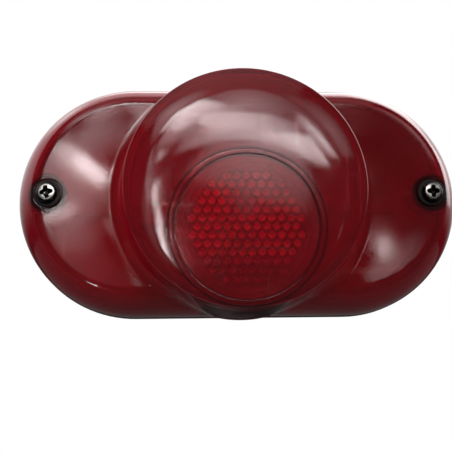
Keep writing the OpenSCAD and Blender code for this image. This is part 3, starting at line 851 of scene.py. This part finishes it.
def aged(finish, scuffed, pitted):
    """Years of wiping and road dust: crossed fine scratches, pale dust and a few dark pits. Gives the
    scratches, which also dull the plastic."""
    marks = scratches(finish, 420, (1, 1, 0.02), 0.5)
    for scale, along, gaps in ((380, (0.02, 1, 1), 0.5), (300, (0.4, 1, 0.05), 0.56)):
        marks = finish.math("MAXIMUM", marks, scratches(finish, scale, along, gaps))
    finish.tint(finish.dots(330, 0.012, 0.03), scuffed)
    finish.tint(finish.math("MULTIPLY", marks, 0.3), scuffed)
    finish.tint(finish.dots(52, 0.016, 0.022), pitted)
    return marks


# Where the drum's face begins, in metres, and the colour of the painted shade in its corners
DRUM_FACE_Y = -0.053
RING_SHADE = (0.05, 0.003, 0.008)


def from_screw(finish, x, z):
    """The distance from the nearer screw's axis."""
    return finish.hypot(finish.math("SUBTRACT", finish.math("ABSOLUTE", x), SCREW_X * MM), z)


def shade_over_posts(finish):
    """Painted shade where the lens sits on the posts' tops, which no light reaches: how dark its back is
    painted there, and how dark the whole of it."""
    x, y, z = finish.xyz()
    near = finish.ramp(from_screw(finish, x, z), 0.0068, 0.0062)
    inner = finish.math("GREATER_THAN", y, -(POST_H + 0.5) * MM)
    return finish.math("MULTIPLY", near, inner), finish.math("MULTIPLY", near, 0.85)


def ring_shade(finish):
    """Painted shade at the foot of the raised ring round the reflector, and in the gap inside the ring."""
    x, y, z = finish.xyz()
    r = finish.hypot(x, finish.math("ADD", z, DISC_DROP * MM))
    lines = []
    for line_r in (DISC_R, RING_R + 0.3):
        off = finish.math("ABSOLUTE", finish.math("SUBTRACT", r, line_r * MM))
        lines.append(finish.ramp(off, 0.0006, 0.0002))
    shade_lines = finish.math("MULTIPLY", finish.math("MAXIMUM", *lines), 0.75)
    return finish.math("MULTIPLY", shade_lines, finish.math("LESS_THAN", y, DRUM_FACE_Y))


def lens_finish():
    """Deep red acrylic, less clear where its walls are seen edge on."""
    f = Finish("lens_red", (0.4, 0.007, 0.02), 0.1, IOR=1.49, Transmission_Weight=0.85)
    f.tint(f.noise(28, 5, 0.35, 0.7), (0.33, 0.006, 0.017))
    marks = aged(f, (0.5, 0.12, 0.13), (0.02, 0.002, 0.002))
    normal = f.node("ShaderNodeSeparateXYZ", {"Vector": f.node("ShaderNodeTexCoord").outputs["Normal"]})
    wall = f.ramp(normal.outputs["Y"], -0.92, -0.5, 1.0, 0.5)
    # painted shade: a dark disc in the lens round each screw, over the posts' tops
    back_shade, post_shade = shade_over_posts(f)
    # painted shade along the ring's foot and in the gap inside it
    f.tint(ring_shade(f), RING_SHADE)
    f.tint(post_shade, (0.03, 0.006, 0.008))
    f.tint(back_shade, (0.02, 0.008, 0.008))
    clear = f.ramp(marks, start=0.85, end=0.7)
    # less clear at the walls, and over the posts where the lens's back is painted dark as shade
    clear = f.math("MULTIPLY", clear, f.math("SUBTRACT", wall, f.math("MULTIPLY", wall, back_shade)))
    f.link(clear, "Transmission Weight")
    worn = f.math("MAXIMUM", f.noise(70, 6, 0.3, 0.75), f.math("MULTIPLY", marks, 0.8))
    f.between("Roughness", worn, 0.05, 0.15)
    f.bump(f.noise(1100, 4, 0.3, 0.7), 0.000012, 0.3)
    f.bump(f.noise(55, 3, 0.3, 0.7), 0.00006, 0.12)
    return f.lets_lamps_through((0.95, 0.05, 0.09))


def reflector_finish():
    """The reflector's clear red face."""
    f = Finish("reflector_red", (0.62, 0.02, 0.05), 0.06, IOR=1.49, Transmission_Weight=0.92)
    f.tint(f.noise(50, 3, 0.3, 0.7), (0.5, 0.014, 0.035))
    marks = aged(f, (0.6, 0.3, 0.3), (0.03, 0.002, 0.004))
    # painted shade along the ring's foot and in the gap inside it
    f.tint(ring_shade(f), RING_SHADE)
    f.between("Roughness", f.math("MAXIMUM", f.noise(80, 5, 0.3, 0.7), marks), 0.05, 0.16)
    f.bump(f.noise(1200, 3, 0.3, 0.7), 0.000008, 0.3)
    return f.lets_lamps_through((0.8, 0.08, 0.14))


def facet_finish():
    """The prisms' backs, with the light that they send to the front painted on: bright from their tips and
    little from their rims, and less from the lowest rows."""
    f = Finish("prism_facets", (0.27, 0.007, 0.023), 0.25)
    spark = f.node("ShaderNodeAttribute", attribute_name="spark").outputs["Fac"]
    lit = f.ramp(spark, 0.3, 0.72, **EASED)
    height = f.math("ADD", f.xyz()["Z"], DISC_DROP * MM)
    above_low_rows = f.ramp(height, -0.0115, -0.0085, start=0.35)
    f.tint(f.math("MULTIPLY", lit, above_low_rows), (0.87, 0.03, 0.118))
    f.tint(f.noise(90, 4, 0.45, 0.75), (0.3, 0.006, 0.02))
    f.between("Roughness", f.noise(300, 2), 0.2, 0.4)
    return f


def clear_finish():
    """The window's clear plastic, with the red light from the lens round it and the shade under the drum
    painted into its colour.
    """
    f = Finish("clear_plastic", (0.27, 0.06, 0.055), 0.1, IOR=1.49, Transmission_Weight=0.85)
    f.tint(f.noise(60, 4, 0.35, 0.7), (0.18, 0.045, 0.04))
    f.between("Roughness", f.noise(90, 4, 0.3, 0.7), 0.06, 0.16)
    return f.lets_lamps_through((0.7, 0.68, 0.62))


def backing_finish():
    """The pale cover behind the prisms."""
    f = Finish("pale_plastic", (0.42, 0.4, 0.36), 0.45)
    f.tint(f.noise(40, 4, 0.35, 0.7), (0.34, 0.32, 0.28))
    f.between("Roughness", f.noise(120, 3), 0.35, 0.55)
    f.bump(f.noise(1500, 2), 0.00001, 0.5)
    return f


def base_finish():
    """Black paint outside. The inside is the bare grey casting, but for the posts' tops, left black as
    painted shade, and it is painted palest in the wings as painted light."""
    f = Finish("base_black", (0.018, 0.018, 0.02), 0.4)
    f.tint(f.noise(70, 5, 0.35, 0.7), (0.032, 0.03, 0.03))
    f.tint(f.noise(25, 5, 0.58, 0.75), (0.075, 0.068, 0.06))
    wear_on_edges(f, 0.0006, (0.2, 0.19, 0.18), 0.6)
    x, y, z = f.xyz()
    # inside is what lies within the base's drafted wall and above its floor
    aside = f.math("ABSOLUTE", x)
    past_ends = f.math("MAXIMUM", f.math("SUBTRACT", aside, END_X * MM), 0.0)
    drafted_wall = f.math("MINIMUM", f.math("MULTIPLY_ADD", y, -0.17, 0.0344), 0.03665)
    inside = f.math("LESS_THAN", f.hypot(past_ends, z), drafted_wall)
    inside = f.math("MULTIPLY", inside, f.math("LESS_THAN", y, -0.0022))
    # the posts' tops stay black: painted shade where the lens sits on them
    shaded_post_tops = f.math("LESS_THAN", y, -(POST_H - 7.0) * MM)
    shaded_post_tops = f.math("MULTIPLY", shaded_post_tops, f.math("LESS_THAN", from_screw(f, x, z), 0.0071))
    inside = f.math("MULTIPLY", inside, f.math("SUBTRACT", 1.0, shaded_post_tops))
    f.tint(inside, (0.24, 0.23, 0.21))
    # painted light: the inside paler in the wings, to brighten the lens there
    painted_light_wings = f.ramp(aside, 0.03, 0.04)
    f.tint(f.math("MULTIPLY", inside, painted_light_wings), (0.8, 0.79, 0.76))
    f.tint(f.math("MULTIPLY", inside, f.noise(60, 5, 0.45, 0.9)), (0.4, 0.37, 0.33))
    f.between("Roughness", f.noise(140, 4), 0.3, 0.6)
    f.bump(f.noise(1300, 4), 0.00004, 0.6)
    return f


def rubber_finish(name, colour, dust):
    """Matt rubber with dust in patches."""
    f = Finish(name, colour, 0.75, Specular_IOR_Level=0.25)
    f.tint(f.noise(90, 5, 0.42, 0.75), dust)
    f.between("Roughness", f.noise(200, 4), 0.6, 0.85)
    f.bump(f.noise(1800, 3), 0.00002, 0.6)
    return f


def metal_finish(name, colour, dull, low, high, scale=160, stain=None):
    """Metal with dull patches and stains, whose roughness runs from low to high."""
    f = Finish(name, colour, 0.4, 1.0)
    f.tint(f.noise(scale, 5, 0.38, 0.66), dull)
    if stain:
        f.tint(f.noise(scale * 0.45, 6, 0.55, 0.72), stain)
    f.between("Roughness", f.noise(scale * 2, 4, 0.3, 0.7), low, high)
    f.bump(f.noise(1600, 3, 0.3, 0.7), 0.00001, 0.5)
    return f


def screw_finish():
    """Worn plating; the recess and the head's side are painted black as shade, and the rod is a little dark
    with grime.
    """
    f = metal_finish("screw_steel", (0.62, 0.59, 0.56), (0.4, 0.37, 0.35), 0.22, 0.42, 300)
    shade_and_grime = f.node("ShaderNodeAttribute", attribute_name="shade_and_grime").outputs["Fac"]
    broken = f.math("MULTIPLY", shade_and_grime, f.math("ADD", f.noise(900, 4, 0.2, 0.6), 0.5))
    # painted shade in the recess and down the head's side, grime on the rod
    f.tint(broken, (0.012, 0.011, 0.01))
    return f


def phenolic_finish():
    """Brown laminate with its layers' grain."""
    f = Finish("phenolic", (0.11, 0.045, 0.018), 0.45)
    f.tint(f.noise(300, 5, 0.4, 0.62, stretch=(1, 8, 1)), (0.06, 0.024, 0.01))
    f.between("Roughness", f.noise(300, 3), 0.35, 0.6)
    f.bump(f.noise(2500, 2, 0.3, 0.7, stretch=(1, 6, 1)), 0.00001, 0.5)
    return f


def glass_finish(name, colour, roughness):
    """Clear or coloured glass, a little rougher in patches."""
    f = Finish(name, colour, roughness, IOR=1.5, Transmission_Weight=1.0)
    return f.between("Roughness", f.noise(60, 3, 0.35, 0.7), roughness, roughness + 0.03)


FINISHES = {finish.name: finish for finish in (
    lens_finish(),
    reflector_finish(),
    clear_finish(),
    backing_finish(),
    base_finish(),
    rubber_finish("gasket_rubber", (0.015, 0.015, 0.015), (0.05, 0.045, 0.04)),
    rubber_finish("washer_rubber", (0.008, 0.005, 0.005), (0.02, 0.012, 0.011)),
    rubber_finish("boot_rubber", (0.014, 0.014, 0.015), (0.05, 0.047, 0.043)),
    metal_finish("zinc_steel", (0.55, 0.55, 0.53), (0.38, 0.37, 0.35), 0.28, 0.5, stain=(0.22, 0.16, 0.1)),
    screw_finish(),
    metal_finish("bright_aluminium", (0.82, 0.82, 0.81), (0.68, 0.68, 0.67), 0.12, 0.3),
    metal_finish("holder_brass", (0.6, 0.46, 0.22), (0.38, 0.28, 0.13), 0.25, 0.5, stain=(0.18, 0.12, 0.06)),
    metal_finish("contact_brass", (0.72, 0.52, 0.22), (0.5, 0.36, 0.15), 0.2, 0.4, 400),
    phenolic_finish(),
    metal_finish("spring_steel", (0.42, 0.42, 0.43), (0.26, 0.25, 0.24), 0.25, 0.45, 300),
    glass_finish("black_glass", (0.02, 0.02, 0.025), 0.08),
    metal_finish("solder", (0.5, 0.5, 0.49), (0.36, 0.36, 0.35), 0.35, 0.55, 500),
    glass_finish("bulb_glass", (0.97, 0.98, 0.97), 0.0).lets_lamps_through((0.9, 0.9, 0.9)),
    metal_finish("lead_wire", (0.5, 0.46, 0.4), (0.34, 0.3, 0.25), 0.3, 0.5, 400),
    metal_finish("tungsten", (0.2, 0.2, 0.21), (0.12, 0.12, 0.13), 0.3, 0.5, 900),
)}

SLOTS = {part["node"]: part["material_slot"] for part in frame["record"]["subparts"]}
for node, slot in SLOTS.items():
    paint(frame["nodes"][node], FINISHES[slot])


# Pieces


def stand_for(piece, node, body, *more):
    """Puts a piece in a plain node's place, on its body and in its slot."""
    paint(piece, FINISHES[SLOTS[node]], *more)
    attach(piece, body)
    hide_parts(node)


lens, window = make_lens()
reflector = make_reflector()
stand_for(lens, "lens", "lens_unit")
stand_for(window, "plate_window", "lens_unit")
stand_for(reflector, "reflex_reflector", "lens_unit", facet_finish())
mark_facets(reflector.data)
for side, x, turn in (("left", -SCREW_X, 9), ("right", SCREW_X, 0)):
    stand_for(make_screw(side + "_lens_screw", x, turn), "lens_screw_" + side, side + "_screw")
    stand_for(make_washer(side + "_sealing_ring", x), "screw_washer_" + side, side + "_washer")
stand_for(make_filament("tail_coil", "tail_filament", 14, 0.00006), "tail_filament", "bulb")
stand_for(make_filament("stop_coil", "stop_filament", 16, 0.00008), "stop_filament", "bulb")

# The lamp holder's spring, on a mesh of its own
spring = make_spring("holder_spring", "socket_spring", 4.5, 0.0004)
stand_for(spring, "socket_spring", "base")
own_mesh(spring)

# Camera at the photograph's place

TARGET = Vector((-5.93, -40.0, -12.61)) * MM
DISTANCE = 299.95 * MM
AZIMUTH, ELEVATION, ROLL = (math.radians(a) for a in (-3.55, -11.56, -0.96))
SENSOR = 36.0
PICTURE_PX = 452
FOCAL_PX = 891.22

back = Vector((math.sin(AZIMUTH) * math.cos(ELEVATION), -math.cos(AZIMUTH) * math.cos(ELEVATION),
               math.sin(ELEVATION)))
right = Vector((math.cos(AZIMUTH), math.sin(AZIMUTH), 0))
up = back.cross(right)
right, up = (right * math.cos(ROLL) + up * math.sin(ROLL), up * math.cos(ROLL) - right * math.sin(ROLL))
camera = bpy.data.objects.new("camera", bpy.data.cameras.new("camera"))
camera.data.sensor_width = SENSOR
camera.data.lens = FOCAL_PX * SENSOR / PICTURE_PX
camera.data.clip_start = 0.01
facing = Matrix((right, up, back)).transposed().to_4x4()
camera.matrix_world = Matrix.Translation(TARGET + back * DISTANCE) @ facing
bpy.context.scene.collection.objects.link(camera)
bpy.context.scene.camera = camera


# Light: soft boxes, each kept by its spread to the part of the lens that it is for


def panel(name, centre, aim, width, height, radiance, spread, roll=0.0, gleam=False):
    """A soft box in millimetres, aimed at a point, with its brightness as a radiance. A gleam only shows as a
    reflection."""
    light = bpy.data.lights.new(name, "AREA")
    light.shape = "RECTANGLE"
    light.size, light.size_y = width * MM, height * MM
    light.spread = math.radians(spread)
    half = math.radians(spread) / 2
    held = (math.tan(half) - half) / math.tan(half)
    light.energy = radiance * math.pi * width * height * MM**2 * held
    obj = bpy.data.objects.new(name, light)
    aimed = (Vector(aim) - Vector(centre)).to_track_quat("-Z", "Y").to_matrix()
    turn = aimed @ Matrix.Rotation(math.radians(roll), 3, "Z")
    obj.matrix_world = Matrix.Translation(Vector(centre) * MM) @ turn.to_4x4()
    obj.visible_camera = False
    obj.visible_diffuse = obj.visible_transmission = not gleam
    bpy.context.scene.collection.objects.link(obj)


# The boxes in front stand in one plane and are aimed at points in another. Each has its x and z there, those
# of its aim, its width and height in millimetres, its radiance, and its spread and roll in degrees.
BOXES_Y = -330
AIMS_Y = -50
BOXES = [
    ("window_left", 32, 91, 77, -32, 160, 69, 11.5, 28, -55),
    ("window_corner", -46, 189, -10, 0, 80, 44, 15, 22.6, -31),
    ("window_middle", 18, 112, -11, 18, 145, 80, 9.5, 28, -9),
    ("window_right", 17, 60, -75, -29, 188, 44, 12, 28, 15),
    ("window_far", -115, 265, 23, -1, 169, 210, 3.2, 30, -68),
    ("window_end", 72, 110, -75, -25, 115, 89, 28, 22, 19),
    ("window_top", 202, 232, -21, 18, 565, 203, 1.8, 39, 12),
    ("window_above", 19, 197, -7, 35, 143, 135, 3.8, 28, 42),
    ("dome_corner", -95, 190, -11, -3, 90, 70, 14, 18, -25),
    ("dome_band", -65, 155, -17, 7, 70, 40, 14, 11.4, -20),
    ("wing_upper", -55, 117, -6, -6, 103, 67, 5.1, 13, 15),
    ("wing_strip", -105, 105, -75, 5, 65, 17, 44, 14, -39),
    ("wing_haze", -124, 84, -75, -33, 96, 43, 5.8, 27, -55),
    ("wing_glint", -132, 50, -75, -10, 43, 7, 20, 16, 27),
    ("streak_top", -67, 29, -11, -5, 32, 9, 36, 13.7, -60),
    ("streak_middle", -50, 5, -17, -5, 23, 10, 44, 9.1, -64),
    ("streak_end", -42, -14, -22, -14, 25, 11, 36, 8.6, -64),
    ("streak_side", -36, -11, -24, -18, 40, 12, 6, 7, -66),
    ("disc_haze", 13, 51, -16, 4, 115, 54, 4.4, 13, -16),
    ("wing_spot", 132, 14, 72, -30, 10, 22, 34, 16, 7),
    ("wing_low", 149, 2, 75, -19, 23, 79, 2.4, 15, -51),
    ("wings_low", -138, -22, -55, -31, 142, 146, 0.8, 28, 38),
    ("dome_left", -73, 27, -15, -22, 115, 52, 2.4, 12, -13),
]
for name, x, z, aim_x, aim_z, width, height, radiance, spread, roll in BOXES:
    panel(name, (x, BOXES_Y, z), (aim_x, AIMS_Y, aim_z), width, height, radiance, spread, roll)
panel("ceiling", (-14, -206, 400), (74, -35, 35), 500, 400, 0.6, 120, 9)
panel("back_light", (0, 400, 490), (0, -35, -30), 710, 90, 2.7, 32, gleam=True)
panel("rim_right", (250, 245, 410), (62, -32, 15), 330, 300, 3.5, 60, gleam=True)
panel("rim_left", (-290, 245, 386), (-62, -32, 26), 200, 200, 2.0, 24, gleam=True)
panel("side_right", (420, 130, 210), (68, -34, 10), 160, 330, 3.5, 70, gleam=True)
panel("low_glint", (-206, BOXES_Y, -250), (-50, -35, -31), 30, 22, 40, 14, gleam=True)


# World: white to the camera, soft light on surfaces, and to reflections a room bright behind and above

world = bpy.data.worlds.new("studio")
bpy.context.scene.world = world
world.use_nodes = True
tree = world.node_tree


def mix(factor, a, b):
    return add_node(tree, "ShaderNodeMix", {0: factor, 2: a, 3: b}).outputs[0]


rays = add_node(tree, "ShaderNodeLightPath").outputs
towards = add_node(tree, "ShaderNodeTexCoord").outputs["Generated"]
x, y, z = add_node(tree, "ShaderNodeSeparateXYZ", {"Vector": towards}).outputs
behind = add_ramp(tree, y, -0.2, 0.33, **EASED)
above = add_ramp(tree, z, -0.1, 0.44, 0.01, 1.3, **EASED)
aside = add_ramp(tree, x, -1.0, 0.1, 0.8, **EASED)
room = add_node(tree, "ShaderNodeMath", {0: above, 1: aside}, operation="MULTIPLY").outputs[0]
shiny = add_node(tree, "ShaderNodeMath", {0: rays["Is Glossy Ray"], 1: rays["Is Transmission Ray"]},
                 operation="MAXIMUM").outputs[0]
strength = mix(rays["Is Camera Ray"], mix(shiny, 0.7, mix(behind, 0.07, room)), 1.0)
background = tree.nodes["Background"]
background.inputs["Color"].default_value = (1, 1, 1, 1)
tree.links.new(strength, background.inputs["Strength"])

bpy.context.scene.view_settings.view_transform = "Standard"

FLOOR_Z = -0.32
FLOOR_HALF = 1.5
corners = [(x * FLOOR_HALF, y * FLOOR_HALF, FLOOR_Z) for x, y in ((-1, -1), (1, -1), (1, 1), (-1, 1))]
floor = mesh_object("floor", corners, [(0, 1, 2, 3)])
pale = Finish("floor_white", (0.14, 0.14, 0.14), 0.7)
seen = pale.node("ShaderNodeLightPath").outputs["Is Camera Ray"]
pale.between("Emission Strength", seen, 0.0, 0.9)
pale.bsdf.inputs["Emission Color"].default_value = (1, 1, 1, 1)
paint(floor, pale)
